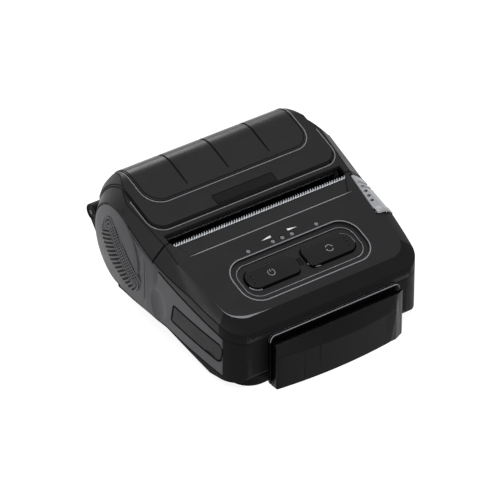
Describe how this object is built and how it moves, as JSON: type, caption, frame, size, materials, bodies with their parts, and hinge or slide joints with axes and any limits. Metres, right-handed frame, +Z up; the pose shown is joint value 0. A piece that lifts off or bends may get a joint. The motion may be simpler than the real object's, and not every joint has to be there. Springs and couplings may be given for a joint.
{
  "type": "portable label printer",
  "caption": "Battery-powered handheld label and receipt printer with a hinged paper cover, toothed tear bar, two keys and a swipe card reader on its front.",
  "frame": {"origin": "on the surface it stands on, under the middle of the tear edge", "axes": "+X right along the tear edge, +Y towards the hinge at the rear, +Z up"},
  "size_m": [0.102, 0.1121, 0.056],
  "materials": {
    "case_plastic": "fine textured black plastic",
    "grip_plastic": "dark grey soft-touch plastic",
    "pad_plastic": "satin black plastic",
    "key_plastic": "black keys",
    "lever_plastic": "light grey plastic",
    "reader_plastic": "black plastic with a soft sheen",
    "inner_plastic": "dark grey plastic",
    "light_pipe": "clear plastic, unlit",
    "platen_rubber": "black rubber",
    "cap_rubber": "black rubber",
    "steel": "sheet steel",
    "spring_steel": "spring wire and pins",
    "heat_sink": "plain aluminium",
    "head_ceramic": "glazed ceramic",
    "gear_plastic": "natural acetal",
    "brass": "bright brass",
    "board": "green circuit board",
    "chip": "black moulded chips"
  },
  "bodies": {
    "case": {"lower_case": "case_plastic", "base_plate": "case_plastic", "left_side_panel": "grip_plastic", "right_side_panel": "grip_plastic", "top_case": "case_plastic", "bay_liner": "inner_plastic", "mech_frame": "steel", "tear_bar": "steel", "head_pivot": "spring_steel", "head_springs": "spring_steel", "paper_sensor": "chip", "stepper_motor": "steel", "idler_stud": "spring_steel", "tact_switches": "chip", "key_board": "board", "light_pipes": "light_pipe", "status_leds": "light_pipe", "main_board": "board", "board_parts": "chip", "dc_jack": "chip", "usb_socket": "steel", "battery_pack": "inner_plastic", "battery_contacts": "brass", "hook_stud": "spring_steel", "hook_spring": "spring_steel", "card_back_plate": "reader_plastic", "card_reader_block": "reader_plastic", "card_slot_floor": "reader_plastic", "head_leaf_spring": "spring_steel", "case_screws": "steel"},
    "cover": {"cover": "case_plastic", "cover_pad": "pad_plastic", "badge_plate": "pad_plastic", "platen_carrier": "steel", "platen_bushes": "gear_plastic", "hinge_pin": "spring_steel"},
    "platen": {"platen_roller": "platen_rubber", "platen_shaft": "spring_steel", "platen_gear": "gear_plastic"},
    "idler": {"idler_gear": "gear_plastic"},
    "rotor": {"motor_pinion": "brass"},
    "head": {"print_head": "head_ceramic", "head_sink": "heat_sink"},
    "lever": {"release_lever": "lever_plastic"},
    "hook": {"release_hook": "steel"},
    "power_key": {"power_button": "key_plastic"},
    "feed_key": {"feed_button": "key_plastic"},
    "port_cap": {"port_cap": "cap_rubber"},
    "battery_latch": {"battery_latch": "inner_plastic", "latch_spring": "spring_steel"},
    "swipe_head": {"magnetic_head": "steel"}
  },
  "joints": [
    {"name": "cover_hinge", "type": "hinge", "parent": "case", "child": "cover", "pos_m": [0, 0.055, 0.0284], "axis": [-1, 0, 0], "range_deg": [0, 95]},
    {"name": "platen_spin", "type": "hinge", "parent": "cover", "child": "platen", "pos_m": [0, 0.0056, 0.0335], "axis": [1, 0, 0], "continuous": true},
    {"name": "idler_spin", "type": "hinge", "parent": "case", "child": "idler", "pos_m": [0, 0.00425, 0.02045], "axis": [1, 0, 0], "continuous": true},
    {"name": "motor_spin", "type": "hinge", "parent": "case", "child": "rotor", "pos_m": [0, -0.00445, 0.01436], "axis": [1, 0, 0], "continuous": true},
    {"name": "head_pivot", "type": "hinge", "parent": "case", "child": "head", "pos_m": [0, -0.0026, 0.024], "axis": [1, 0, 0], "range_deg": [0, 1.5], "stiffness_Nm_per_rad": 0.5, "springref_deg": -1.15},
    {"name": "lever_slide", "type": "slide", "parent": "case", "child": "lever", "axis": [-0.0872, -0.948, -0.3062], "range_m": [0, 0.0025], "stiffness_N_per_m": 300, "springref_m": -0.001},
    {"name": "hook_turn", "type": "hinge", "parent": "case", "child": "hook", "pos_m": [0.0433, -0.006, 0.027], "axis": [1, 0, 0], "range_deg": [0, 18.5]},
    {"name": "power_press", "type": "slide", "parent": "case", "child": "power_key", "axis": [0, 0.3074, -0.9516], "range_m": [0, 0.0008], "stiffness_N_per_m": 500, "springref_m": -0.0003},
    {"name": "feed_press", "type": "slide", "parent": "case", "child": "feed_key", "axis": [0, 0.3074, -0.9516], "range_m": [0, 0.0008], "stiffness_N_per_m": 500, "springref_m": -0.0003},
    {"name": "port_cap_hinge", "type": "hinge", "parent": "case", "child": "port_cap", "pos_m": [-0.04909, -0.01175, 0.02132], "axis": [0, 0.1874, -0.9823], "range_deg": [0, 110]},
    {"name": "latch_slide", "type": "slide", "parent": "case", "child": "battery_latch", "axis": [0, 1, 0], "range_m": [0, 0.0024], "stiffness_N_per_m": 200, "springref_m": -0.001},
    {"name": "swipe_head_slide", "type": "slide", "parent": "case", "child": "swipe_head", "axis": [0, 1, 0], "range_m": [0, 0.0004], "stiffness_N_per_m": 800, "springref_m": -0.0002}
  ],
  "couplings": [
    {"joint": "idler_spin", "follows": "platen_spin", "ratio": -0.73333},
    {"joint": "motor_spin", "follows": "platen_spin", "ratio": 1.8333},
    {"joint": "hook_turn", "follows": "lever_slide", "rad_per_m": 128}
  ]
}
